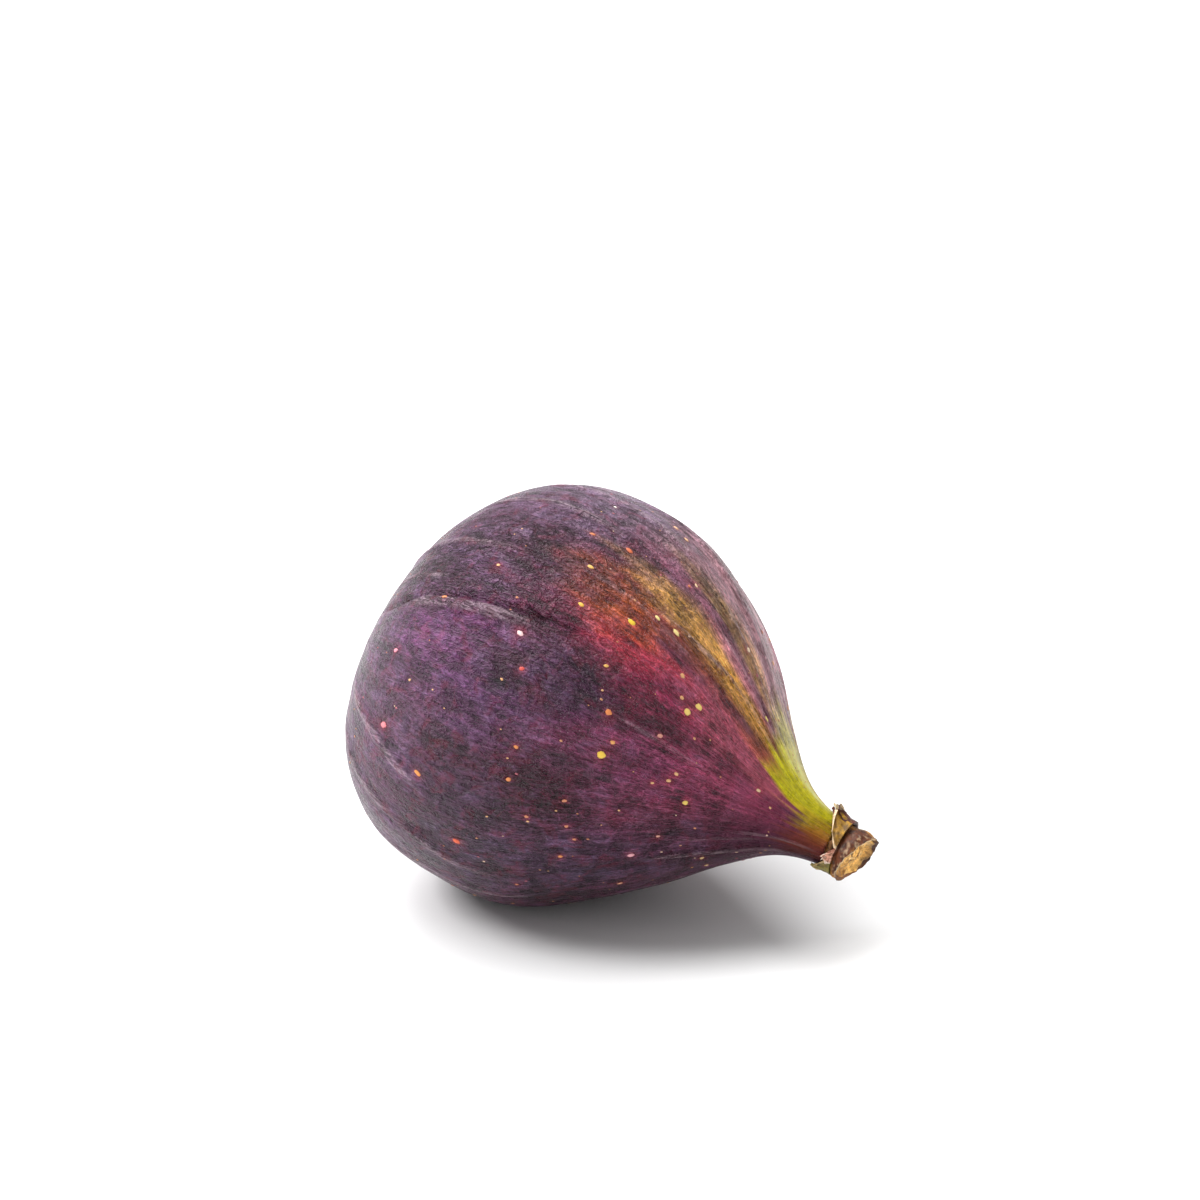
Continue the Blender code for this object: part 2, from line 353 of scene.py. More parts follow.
# Zones of colour, laid on in order: angle, share, half width (degrees), half length (share), softness,
# colour, strength
ZONES = (
    (180, 0.00, 360, 0.42, 0.4, "624a62", 0.8),
    (-20, 0.66, 27, 0.27, 0.5, "ac868c", 0.9),
    (-14, 0.42, 26, 0.12, 0.6, "86748a", 0.8),
    (10, 0.38, 14, 0.10, 0.7, "745a70", 0.6),
    (62, 0.79, 38, 0.17, 0.6, "783a4c", 0.95),
    (34, 0.81, 15, 0.17, 0.6, "904c58", 0.9),
    (96, 0.86, 16, 0.14, 0.6, "562c3c", 0.85),
    (125, 0.84, 24, 0.14, 0.6, "4a2c3a", 0.9),
    (3, 0.62, 6, 0.12, 0.6, "7e5060", 0.8),
    (37, 0.60, 9, 0.11, 0.6, "94363e", 0.9),
    (26, 0.555, 9, 0.085, 0.6, "c4683e", 1.0),
    (21, 0.50, 6, 0.05, 0.8, "ac5a40", 0.8),
    (22, 0.69, 6, 0.09, 0.7, "b4664c", 0.9),
    (14, 0.69, 7, 0.15, 0.5, "bc9058", 0.95),
    (16, 0.82, 7, 0.08, 0.5, "b88a50", 0.9),
    (-5, 0.73, 6, 0.09, 0.5, "bc946a", 0.8),
    (-4, 0.66, 4, 0.10, 0.5, "a08450", 0.6),
    (5, 0.75, 4, 0.07, 0.6, "a4707c", 0.8),
    (56, 0.56, 10, 0.08, 0.5, "3a1836", 0.95),
    (86, 0.58, 7, 0.09, 0.5, "401224", 0.85),
    (70, 0.68, 12, 0.09, 0.6, "603048", 0.8),
    (46, 0.68, 9, 0.07, 0.6, "6a2238", 0.8),
    (58, 0.38, 14, 0.07, 0.7, "70406a", 0.7),
    (42, 0.50, 9, 0.04, 0.6, "4e2038", 0.8),
    (66, 0.47, 12, 0.06, 0.6, "563456", 0.7),
    (93, 0.46, 10, 0.06, 0.6, "4a2648", 0.6),
    (112, 0.66, 15, 0.12, 0.6, "382a3c", 0.8),
    (116, 0.50, 18, 0.09, 0.6, "3e3040", 0.7),
    (137, 0.62, 9, 0.05, 0.5, "1c1018", 0.9),
    (118, 0.675, 5, 0.03, 0.5, "20121c", 0.8),
    (24, 0.88, 6, 0.07, 0.5, "9e5840", 0.8),
    (40, 0.90, 12, 0.05, 0.6, "92505a", 0.6),
    (4, 0.945, 34, 0.08, 0.25, "b4ac2c", 1.0),
    (-17, 0.90, 18, 0.08, 0.4, "d4cc88", 0.9),
    (4, 0.96, 12, 0.05, 0.5, "b8b018", 0.9),
    (42, 0.98, 24, 0.04, 0.5, "a08c34", 0.9),
    (62, 0.985, 22, 0.025, 0.5, "8a5824", 0.8),
    (92, 0.975, 25, 0.04, 0.6, "6c3422", 0.8),
    (-60, 0.92, 34, 0.09, 0.5, "a09238", 0.8),
    (-70, 0.74, 20, 0.14, 0.6, "7c4450", 0.8),
    (-110, 0.62, 18, 0.20, 0.6, "54243a", 0.8),
    (-95, 0.50, 14, 0.12, 0.7, "36223a", 0.8),
    (-150, 0.78, 22, 0.14, 0.6, "62303e", 0.8),
    (-140, 0.44, 30, 0.14, 0.6, "40304a", 0.7),
    (180, 0.00, 360, 0.040, 0.5, "6a3a3c", 0.9),
)
BASE_COLOUR = "542c42"
SKIN_DEPTH = 0.70
SKIN_RICHNESS = 1.24


def skin_tint(angle, share):
    """Broad colour of the skin, with the zones' edges drawn out along the fig by noise."""
    around = angle / TURN
    tint = np.ones(angle.shape + (3,)) * paint(BASE_COLOUR)
    ragged = 0.34 * wave_noise(around, share, 70, 6, 41) + 0.24 * wave_noise(around, share, 160, 16, 42)
    for zone_angle, zone_share, half_angle, half_share, soft, code, strength in ZONES:
        aside = (np.degrees(angle) - zone_angle + 180) % 360 - 180
        distance = np.hypot(aside / half_angle, (share - zone_share) / half_share) + ragged * (0.4 + soft)
        cover = strength * smooth_step(1 + soft, 1 - soft, distance)
        tint = tint + (paint(code) - tint) * cover[..., None]
    for angle_a, share_a, length, _ in SPOTS:
        aside = (angle - math.radians(angle_a) + math.pi) % TURN - math.pi
        halo = np.hypot(aside * radius_at(share), (share - share_a) * SKIN_LENGTH) / (length * 1.1 * MM)
        tint = tint + (paint("a04a50") - tint) * (0.5 * np.exp(-halo ** 2))[..., None]
    grey = tint.mean(-1, keepdims=True)
    # Lighter towards the neck all round, with painted top light on top of that: most on the side that faces up.
    painted_top_light = smooth_step(120, 45, np.abs((np.degrees(angle) - 5 + 180) % 360 - 180))
    depth_and_painted_top_light = SKIN_DEPTH + smooth_step(0.46, 0.76, share) * (0.25 + 0.75 * painted_top_light)
    return np.clip(grey + (tint - grey) * SKIN_RICHNESS, 0.001, 1) * depth_and_painted_top_light[..., None]


# Cracked and rubbed patches: angle, share, half width (degrees), half length (share), strength
RUBBED = (
    (40, 0.30, 14, 0.10, 0.9),
    (22, 0.38, 12, 0.10, 0.7),
    (92, 0.59, 9, 0.07, 1.0),
    (84, 0.54, 3, 0.12, 0.7),
    (41, 0.45, 4, 0.09, 0.9),
    (112, 0.46, 9, 0.06, 0.6),
    (48, 0.68, 10, 0.06, 0.5),
    (124, 0.58, 9, 0.06, 0.6),
    (-100, 0.44, 10, 0.08, 0.7),
    (-30, 0.50, 8, 0.06, 0.5),
)


def patches(angle, share, table):
    around = angle / TURN
    ragged = 0.35 * wave_noise(around, share, 80, 20, 51)
    cover = np.zeros(angle.shape)
    for patch_angle, patch_share, half_angle, half_share, strength in table:
        aside = (np.degrees(angle) - patch_angle + 180) % 360 - 180
        distance = np.hypot(aside / half_angle, (share - patch_share) / half_share) + ragged
        cover = np.maximum(cover, strength * smooth_step(1.3, 0.5, distance))
    return cover


# ---------------------------------------------------------------- node helpers

class Nodes:
    """Short ways to add and join shader nodes in one material."""

    def __init__(self, name):
        self.material = bpy.data.materials.new(name)
        self.material.use_nodes = True
        self.tree = self.material.node_tree
        self.shader = self.tree.nodes["Principled BSDF"]

    def add(self, kind, inputs=None, **settings):
        node = self.tree.nodes.new(kind)
        for key, value in settings.items():
            setattr(node, key, value)
        for key, value in (inputs or {}).items():
            self.put(node.inputs[key], value)
        return node

    def put(self, socket, value):
        if isinstance(value, bpy.types.NodeSocket):
            self.tree.links.new(value, socket)
        else:
            socket.default_value = value

    def values(self, name):
        return self.add("ShaderNodeAttribute", attribute_name=name)

    def maths(self, operation, a, b=0.0, c=0.0, clamp=False):
        node = self.add("ShaderNodeMath", operation=operation, use_clamp=clamp)
        for socket, value in zip(node.inputs, (a, b, c)):
            self.put(socket, value)
        return node.outputs[0]

    def stretch(self, vector, amounts):
        node = self.add("ShaderNodeVectorMath", operation="MULTIPLY")
        self.put(node.inputs[0], vector)
        node.inputs[1].default_value = amounts
        return node.outputs[0]

    def noise(self, vector, scale, detail=3.0, rough=0.55, distortion=0.0):
        inputs = {"Vector": vector, "Scale": scale, "Detail": detail, "Roughness": rough, "Distortion": distortion}
        return self.add("ShaderNodeTexNoise", inputs).outputs["Fac"]

    def ramp(self, value, low, high, out_low=0.0, out_high=1.0):
        inputs = {"Value": value, "From Min": low, "From Max": high, "To Min": out_low, "To Max": out_high}
        node = self.add("ShaderNodeMapRange", inputs, interpolation_type="SMOOTHSTEP", clamp=True)
        return node.outputs["Result"]

    def mix(self, factor, a, b, blend="MIX"):
        node = self.add("ShaderNodeMix", data_type="RGBA", blend_type=blend, clamp_factor=True)
        self.put(node.inputs[0], factor)
        self.put(node.inputs[6], a)
        self.put(node.inputs[7], b)
        return node.outputs[2]

    def lines(self, vector, scale, width, distortion=0.6, detail=2.0):
        """Thin curly lines, where a noise passes through its middle value."""
        noise = self.noise(vector, scale, detail, 0.6, distortion)
        off = self.maths("ABSOLUTE", self.maths("SUBTRACT", noise, 0.5))
        return self.ramp(off, 0.0, width, 1.0, 0.0)

    def bump(self, height, distance, strength=1.0, normal=None):
        inputs = {"Height": height, "Distance": distance, "Strength": strength}
        node = self.add("ShaderNodeBump", inputs)
        if normal is not None:
            self.put(node.inputs["Normal"], normal)
        return node.outputs["Normal"]


def rgba(code, alpha=1.0):
    return (*paint(code), alpha)


def skin_material():
    n = Nodes("fig_skin_looks")
    tint = n.values("tint").outputs["Color"]
    flow = n.values("flow").outputs["Vector"]
    rubbed = n.values("rubbed").outputs["Fac"]
    vein = n.values("vein").outputs["Fac"]
    neck = n.values("neck").outputs["Fac"]
    millimetres = n.stretch(n.add("ShaderNodeTexCoord").outputs["Object"], (1000, 1000, 1000))

    # streaks that run along the fig, and blotches
    broad = n.noise(n.stretch(flow, (6, 6, 1.6)), 1.0, 5, 0.62)
    narrow = n.noise(n.stretch(flow, (24, 24, 4)), 1.0, 4, 0.65)
    hair = n.noise(n.stretch(flow, (70, 70, 10)), 1.0, 3, 0.6)
    mottle = n.noise(millimetres, 0.32, 6, 0.66, 0.4)
    grain = n.noise(millimetres, 1.6, 4, 0.62, 0.5)

    body = n.ramp(neck, 0.0, 1.0, 1.0, 0.25)
    deep = n.maths("MULTIPLY", n.ramp(n.maths("ADD", broad, n.maths("MULTIPLY", narrow, 0.5)), 0.66, 0.95, 0.0, 0.75), body)
    colour = n.mix(deep, tint, rgba("2c0a18"))
    blue = n.maths("MULTIPLY", n.ramp(n.maths("ADD", mottle, n.maths("MULTIPLY", hair, 0.6)), 0.76, 1.0, 0.0, 0.35), body)
    colour = n.mix(blue, colour, rgba("544660"))
    light = n.maths("ADD", n.ramp(narrow, 0.38, 0.62, -0.30, 0.30), n.ramp(mottle, 0.38, 0.62, -0.34, 0.34))
    light = n.maths("ADD", light, n.ramp(grain, 0.3, 0.7, -0.16, 0.16))
    light = n.maths("ADD", light, n.ramp(hair, 0.35, 0.65, -0.18, 0.18))
    light = n.maths("ADD", 1.0, n.maths("MULTIPLY", light, n.ramp(neck, 0.0, 1.0, 1.0, 0.55)))
    grey = n.add("ShaderNodeCombineColor", {"Red": light, "Green": light, "Blue": light}).outputs[0]
    colour = n.mix(1.0, colour, grey, "MULTIPLY")

    # veins are paler than the skin between them, and creases are painted darker: painted shade in the creases
    worn = n.ramp(hair, 0.35, 0.6)
    colour = n.mix(n.maths("MULTIPLY", n.ramp(vein, 0.1, 0.9, 0.0, 0.4), worn), colour, rgba("b8a0a8"))
    # painted shade: the creases are darkened
    colour = n.mix(n.ramp(vein, -1.0, -2.4, 0.0, 0.75), colour, rgba("1e0a14"))

    # rubbed patches: fine dark cracks
    crack = n.lines(n.stretch(flow, (22, 22, 12)), 1.0, 0.05, 0.9, 3)
    crack = n.maths("MULTIPLY", crack, rubbed, clamp=True)
    colour = n.mix(n.maths("MULTIPLY", crack, 0.85), colour, rgba("240810"))

    # pale crinkled fibres of the waxy skin: partly their own pale colour and partly painted glints, with painted shade
    # in the wrinkles between them
    fibre_coarse = n.lines(millimetres, 0.75, 0.07, 1.5, 1)
    fibre_fine = n.lines(n.stretch(flow, (34, 34, 12)), 1.0, 0.10, 1.2, 1)
    wrinkle = n.lines(n.stretch(flow, (20, 20, 9)), 1.0, 0.12, 1.6, 2)
    broken = n.ramp(n.noise(millimetres, 1.1, 3, 0.6), 0.48, 0.62)
    fibre = n.maths("MAXIMUM", n.maths("MULTIPLY", fibre_coarse, broken), n.maths("MULTIPLY", fibre_fine, 0.7))
    # painted shade along the fine wrinkle lines
    painted_wrinkle_shade = n.maths("MULTIPLY", n.ramp(wrinkle, 0.0, 0.8, 0.35, 0.0), body)
    colour = n.mix(painted_wrinkle_shade, colour, rgba("24081a"))
    # the fibres are lightened: partly their own pale colour, partly painted glints
    fibre_and_painted_glint = n.maths("ADD", 1.0, n.maths("MULTIPLY", n.maths("MULTIPLY", fibre, 0.75), body))
    fibre_and_glint_grey = n.add("ShaderNodeCombineColor", {"Red": fibre_and_painted_glint, "Green": fibre_and_painted_glint, "Blue": fibre_and_painted_glint}).outputs[0]
    colour = n.mix(1.0, colour, fibre_and_glint_grey, "MULTIPLY")
    # pale lilac on the fibres: partly their own colour, partly painted glint
    colour = n.mix(n.maths("MULTIPLY", n.maths("MULTIPLY", fibre, 0.10), body), colour, rgba("b098ac"))

    # reddish flecks between the fibres
    fleck = n.maths("MULTIPLY", n.ramp(n.noise(millimetres, 0.5, 2, 0.6, 0.8), 0.50, 0.70, 0.0, 0.28), body)
    colour = n.mix(fleck, colour, rgba("801e3a"))

    n.put(n.shader.inputs["Base Color"], colour)
    n.put(n.shader.inputs["Roughness"], n.ramp(n.maths("ADD", mottle, n.maths("MULTIPLY", fibre, 0.2)), 0.3, 0.8, 0.22, 0.38))
    n.shader.inputs["Specular IOR Level"].default_value = 0.25
    height = n.maths("ADD", n.maths("MULTIPLY", fibre, 0.45), n.maths("MULTIPLY", grain, 1.0))
    height = n.maths("ADD", height, n.maths("MULTIPLY", wrinkle, n.maths("MULTIPLY", body, 0.7)))
    height = n.maths("ADD", height, n.maths("MULTIPLY", mottle, 5.0))
    height = n.maths("ADD", height, n.maths("MULTIPLY", hair, 1.2))
    height = n.maths("SUBTRACT", height, crack)
    height = n.maths("ADD", height, n.maths("MULTIPLY", narrow, 2.2))
    n.put(n.shader.inputs["Normal"], n.bump(height, 0.00026, 1.0))
    return n.material


def make_fruit():
    shares = np.linspace(0.004, 1.0, SKIN_ALONG)
    angles = np.arange(SKIN_AROUND) / SKIN_AROUND * TURN - math.pi
    angle, share = np.meshgrid(angles, shares)
    points, _ = skin_point(angle, share)
    points = rest_on_floor(points).reshape(-1, 3)
    first = plain_point(np.array(0.0), np.array(0.0))
    last = np.array([0, 0, NECK_HEIGHT])
    all_points = np.vstack([first, points, last])
    piece = new_piece("fig_fruit", all_points, tube_faces(SKIN_ALONG, SKIN_AROUND), skin_material(), "fruit")

    all_angle = np.concatenate([[0], angle.ravel(), [0]])
    all_share = np.concatenate([[0], share.ravel(), [1]])
    tint = skin_tint(all_angle, all_share)
    add_values(piece, "tint", "FLOAT_COLOR", np.hstack([tint, np.ones((len(tint), 1))]))
    flow = np.stack([np.cos(all_angle), np.sin(all_angle), all_share * 3], axis=-1)
    add_values(piece, "flow", "FLOAT_VECTOR", flow)
    add_values(piece, "rubbed", "FLOAT", patches(all_angle, all_share, RUBBED))
    add_values(piece, "vein", "FLOAT", vein_height(all_angle, all_share) / (0.2 * MM))
    add_values(piece, "neck", "FLOAT", smooth_step(0.78, 0.94, all_share))
    add_skin_map(piece)
    return piece


def add_skin_map(piece):
    """A map of the skin: once round the fig across it, from the eye to the neck up it."""
    mesh = piece.data
    corner = np.empty(len(mesh.loops), dtype=np.int32)
    mesh.loops.foreach_get("vertex_index", corner)
    starts = np.empty(len(mesh.polygons), dtype=np.int32)
    sizes = np.empty(len(mesh.polygons), dtype=np.int32)
    mesh.polygons.foreach_get("loop_start", starts)
    mesh.polygons.foreach_get("loop_total", sizes)
    face = np.repeat(np.arange(len(starts)), sizes)
    inner = corner - 1
    across = (inner % SKIN_AROUND) / SKIN_AROUND
    along = (inner // SKIN_AROUND + 1) / (SKIN_ALONG + 1)
    pole = (corner == 0) | (corner == 1 + SKIN_ALONG * SKIN_AROUND)
    along = np.where(corner == 0, 0, np.where(pole, 1, along))
    shown = np.where(pole, -1, across)
    widest = np.maximum.reduceat(shown, starts)
    wraps = (widest[face] > 0.75) & (shown < 0.25) & ~pole
    across = np.where(wraps, across + 1, across)
    flat = np.where(pole, 0, across)
    middle = np.add.reduceat(flat, starts) / np.maximum(np.add.reduceat((~pole).astype(int), starts), 1)
    across = np.where(pole, middle[face], across)
    layer = mesh.uv_layers.new(name="OFBake")
    layer.data.foreach_set("uv", np.stack([across, along], axis=-1).astype(np.float32).ravel())


# ---------------------------------------------------------------- small spots on the skin

STRAY_SPOTS = 260
STRAY_COLOURS = ("c8906a", "d8a878", "a8606a", "b87858", "d0b098")


def all_spots():
    spots = [(math.radians(angle), share, length, code) for angle, share, length, code in SPOTS]
    random = np.random.default_rng(77)
    for _ in range(STRAY_SPOTS):
        angle = random.uniform(-math.pi, math.pi)
        share = random.uniform(0.10, 0.93)
        length = random.uniform(0.14, 0.36)
        code = STRAY_COLOURS[random.integers(len(STRAY_COLOURS))]
        shown = math.radians(-30) < angle < math.radians(140)
        spots.append((angle, share, length * (1.0 if shown else 1.5), code))
    return spots


def spot_material():
    n = Nodes("spot_looks")
    tint = n.values("tint").outputs["Color"]
    n.put(n.shader.inputs["Base Color"], tint)
    n.shader.inputs["Roughness"].default_value = 0.5
    n.shader.inputs["Specular IOR Level"].default_value = 0.3
    millimetres = n.stretch(n.add("ShaderNodeTexCoord").outputs["Object"], (1000, 1000, 1000))
    n.put(n.shader.inputs["Normal"], n.bump(n.noise(millimetres, 6.0), 0.00004))
    return n.material


def make_spots():
    """Each lenticel is a low dome, longer along the fig than round it, with a reddish edge."""
    sides = 12
    random = np.random.default_rng(78)
    points, faces, tints = [], [], []
    for angle, share, length, code in all_spots():
        half = 1.25 * length * MM / 2
        width = half * random.uniform(0.55, 0.8)
        turn = random.uniform(-0.3, 0.3)
        shape = random.uniform(0.85, 1.15, sides)
        radius = max(float(radius_at(share)), 0.002)
        start = len(points)
        rings = ((0.0, 0.07, 1.0), (0.45, 0.06, 1.0), (0.8, 0.03, 0.85), (1.15, -0.03, 0.30))
        for reach, lift, strength in rings:
            steps = 1 if reach == 0 else sides
            around = np.arange(steps) / sides * TURN
            along = reach * half * np.cos(around) * shape[:steps]
            aside = reach * width * np.sin(around) * shape[:steps]
            spot_share = share + (along * math.cos(turn) - aside * math.sin(turn)) / SKIN_LENGTH
            spot_angle = angle + (along * math.sin(turn) + aside * math.cos(turn)) / radius
            placed, _ = skin_point(spot_angle, spot_share, np.full(steps, lift * MM * min(length / 0.5, 1.4)))
            points.extend(placed)
            edge = paint("6a2430")
            tints.extend([edge + (paint(code) - edge) * strength] * steps)
        for j in range(sides):
            k = (j + 1) % sides
            faces.append((start, start + 1 + j, start + 1 + k))
            for ring in (0, 1):
                low = start + 1 + ring * sides
                faces.append((low + j, low + sides + j, low + sides + k, low + k))
    piece = new_piece("skin_specks", rest_on_floor(np.array(points)), faces, spot_material(), "fruit")
    add_values(piece, "tint", "FLOAT_COLOR", np.hstack([tints, np.ones((len(tints), 1))]))


# ---------------------------------------------------------------- cut stem

STUB_AROUND = 140
STUB_ROOT = -0.13          # the bark starts on the neck's end


def stub_point(angle, share, radius):
    """A point of the stub: share 0 at its root to 1 at the cut, which leans over by the stub's bend."""
    lean = math.tan(STUB_BEND)
    aside = lean * STUB_LENGTH * share ** 2 / 2
    x = aside * math.cos(BEND_TOWARDS) + radius * np.cos(angle)
    y = aside * math.sin(BEND_TOWARDS) + radius * np.sin(angle)
    z = NECK_HEIGHT + GAP + STUB_LENGTH * share - share * lean * radius * np.cos(angle - BEND_TOWARDS)
    return np.stack([x, y, z], axis=-1)


def blend_paint(cover, under, code):
    return under + (paint(code) - under) * np.clip(cover, 0, 1)[..., None]


def stub_rows():
    """Rings of points and their colours: up the bark, over the ragged rim and in across the cut face."""
    angle = np.arange(STUB_AROUND) / STUB_AROUND * TURN
    around = angle / TURN
    degrees = (np.degrees(angle) + 180) % 360 - 180
    ragged = 0.07 * wave_noise(around, 0.3, 15, 1, 61) + 0.05 * wave_noise(around, 0.6, 47, 1, 62)
    lip = 0.45 + 0.14 * wave_noise(around, 0.5, 21, 1, 63)
    points, tints = [], []
    for share in np.linspace(STUB_ROOT, 1, 22):
        rough = 0.10 * wave_noise(around, share, 34, 3, 64) + 0.07 * wave_noise(around, share, 60, 9, 65)
        collar = -0.15 * math.exp(-((share - 0.30) / 0.14) ** 2) + 0.12 * math.exp(-((share - 0.72) / 0.2) ** 2)
        radius = STUB_RADIUS - STUB_TAPER * (1 - share) + (rough + collar - 0.05) * MM
        height = share * (1 + ragged * abs(share) ** 3 * 0.7)
        points.append(stub_point(angle, height, radius))
        tint = np.ones((STUB_AROUND, 3)) * paint("5c2c10")
        tint = blend_paint(smooth_step(0.1, 0.7, wave_noise(around, share, 16, 3, 66)) * 0.9, tint, "a06a20")
        tint = blend_paint(smooth_step(-0.1, 0.6, wave_noise(around, share, 30, 5, 67)) * 0.7, tint, "24100a")
        tint = blend_paint(smooth_step(0.35, 0.0, share) * 0.6, tint, "7a5626")
        flecks = smooth_step(0.25, 0.6, wave_noise(around, share, 80, 14, 68)) * smooth_step(0.45, 0.85, share)
        tints.append(blend_paint(flecks * 0.45, tint, "d8b890"))
    # Painted light on the rim: lighter on the sides at 0 and 80 degrees, and painted shade on the side at -85 degrees.
    painted_rim_light = smooth_step(75, 20, np.abs(degrees - 80)) + smooth_step(50, 15, np.abs(degrees))
    shade = smooth_step(70, 25, np.abs(degrees + 85))
    rim = STUB_RADIUS - 0.05 * MM
    for step, drop in ((0.10, 0.02), (0.25, 0.0), (0.55, 0.02), (1.0, -0.06)):
        radius = rim - step * lip * MM
        height = 1 + ragged * 0.7 + drop - 0.03 * step
        points.append(stub_point(angle, height, radius))
        tint = np.ones((STUB_AROUND, 3)) * paint("7a4a20")
        # painted highlight on the rim
        tint = blend_paint(painted_rim_light * (0.55 + 0.5 * wave_noise(around, step, 30, 2, 69)), tint, "ecd0a0")
        # painted shade on the rim's side at -85 degrees
        tints.append(blend_paint(shade * 0.85, tint, "341408"))
    inner = rim - lip * MM
    for reach in np.linspace(0.97, 0.05, 20):
        radius = inner * reach
        bowl = 0.62 * smooth_step(1.0, 0.72, reach) - 0.30 * math.exp(-(reach / 0.45) ** 2)
        strands = 0.18 * wave_noise(around, reach, 12, 5, 71) + 0.12 * wave_noise(around, reach, 34, 12, 72)
        curl = np.exp(-((radius * np.cos(angle) / MM - 0.3) ** 2 * 1.5 + (radius * np.sin(angle) / MM) ** 2 * 0.2))
        height = 1 + ragged * 0.7 * reach ** 4 - (bowl - strands - 0.15 * curl) * MM / STUB_LENGTH
        points.append(stub_point(angle, height, radius))
        tint = np.ones((STUB_AROUND, 3)) * paint("f0bc68")
        # pale patches of the cut face, kept to the side at 10 degrees: partly its own pale colour, partly painted
        # light
        pale = smooth_step(-0.2, 0.5, wave_noise(around, reach, 9, 4, 73)) * smooth_step(110, 20, np.abs(degrees - 10))
        tint = blend_paint(pale * 0.8, tint, "f8e4b8")
        tint = blend_paint(smooth_step(60, 20, np.abs(degrees - 150)) * reach * 0.8, tint, "a0640c")
        tint = blend_paint(smooth_step(0.15, 0.5, wave_noise(around, reach, 40, 12, 74)) * 0.6, tint, "8a5a24")
        dark = smooth_step(0.3, 0.55, wave_noise(around, reach, 22, 6, 75)) * smooth_step(0.9, 0.3, reach)
        # darker cracks towards the middle, and painted shade near the rim on the side at -85 degrees
        tints.append(blend_paint(dark * 0.8 + shade * smooth_step(0.7, 1.0, reach) * 0.8, tint, "4a2408"))
    return points, tints


def wood_material(name, scale, roughness):
    n = Nodes(name)
    tint = n.values("tint").outputs["Color"]
    millimetres = n.stretch(n.add("ShaderNodeTexCoord").outputs["Object"], (1000, 1000, 1000))
    coarse = n.noise(millimetres, 1.4 * scale, 4, 0.6, 0.6)
    fine = n.noise(millimetres, 5.0 * scale, 3, 0.6, 0.4)
    light = n.maths("ADD", n.ramp(coarse, 0.3, 0.7, 0.62, 1.25), n.ramp(fine, 0.3, 0.7, -0.2, 0.2))
    grey = n.add("ShaderNodeCombineColor", {"Red": light, "Green": light, "Blue": light}).outputs[0]
    n.put(n.shader.inputs["Base Color"], n.mix(1.0, tint, grey, "MULTIPLY"))
    n.put(n.shader.inputs["Roughness"], n.ramp(coarse, 0.3, 0.7, roughness - 0.1, roughness + 0.15))
    n.shader.inputs["Specular IOR Level"].default_value = 0.35
    n.put(n.shader.inputs["Normal"], n.bump(n.maths("ADD", coarse, n.maths("MULTIPLY", fine, 0.5)), 0.00012))
    return n.material


def make_stub():
    points, tints = stub_rows()
    first = np.array([0, 0, NECK_HEIGHT])
    last = stub_point(np.array(0.0), np.array(0.93), np.array(0.0))
    all_points = np.vstack([first] + points + [last])
    all_tints = np.vstack([tints[0][:1]] + tints + [tints[-1][:1]])
    faces = tube_faces(len(points), STUB_AROUND)
    piece = new_piece("stem_bark", all_points, faces, wood_material("stem_looks", 1.0, 0.5), "stem_stub")
    add_values(piece, "tint", "FLOAT_COLOR", np.hstack([all_tints, np.ones((len(all_tints), 1))]))


# ---------------------------------------------------------------- dry scales

# Name, CAD node, direction and half width (degrees), height, flare, waviness in mm, tip's lean (degrees),
# colours of the body, the tip, the edge on the camera's side and the other edge
BRACTS = (
    ("scale_front", "bract_front", 30, 42, 0.0031, 0.45, 0.16, -30, "a87c20", "5a1c18", "f6d8b0", "5a2a1c"),
    ("scale_under", "bract_under", 138, 42, 0.0026, 0.00, 0.12, 4, "8a8040", "a09058", "d8c090", "c8a878"),
    ("scale_back", "bract_back", -44, 46, 0.0034, 0.50, 0.16, 24, "5a2a20", "f0d8ac", "4a221c", "e0c090"),
    ("scale_curl", "bract_under", 84, 17, 0.0013, 0.60, 0.45, 6, "e0a890", "f4d8c4", "f8e4d4", "a05848"),
)
BRACT_RISE = 0.0012          # the scales' feet clasp the stub's root
BRACT_ACROSS = 44
BRACT_ALONG = 30


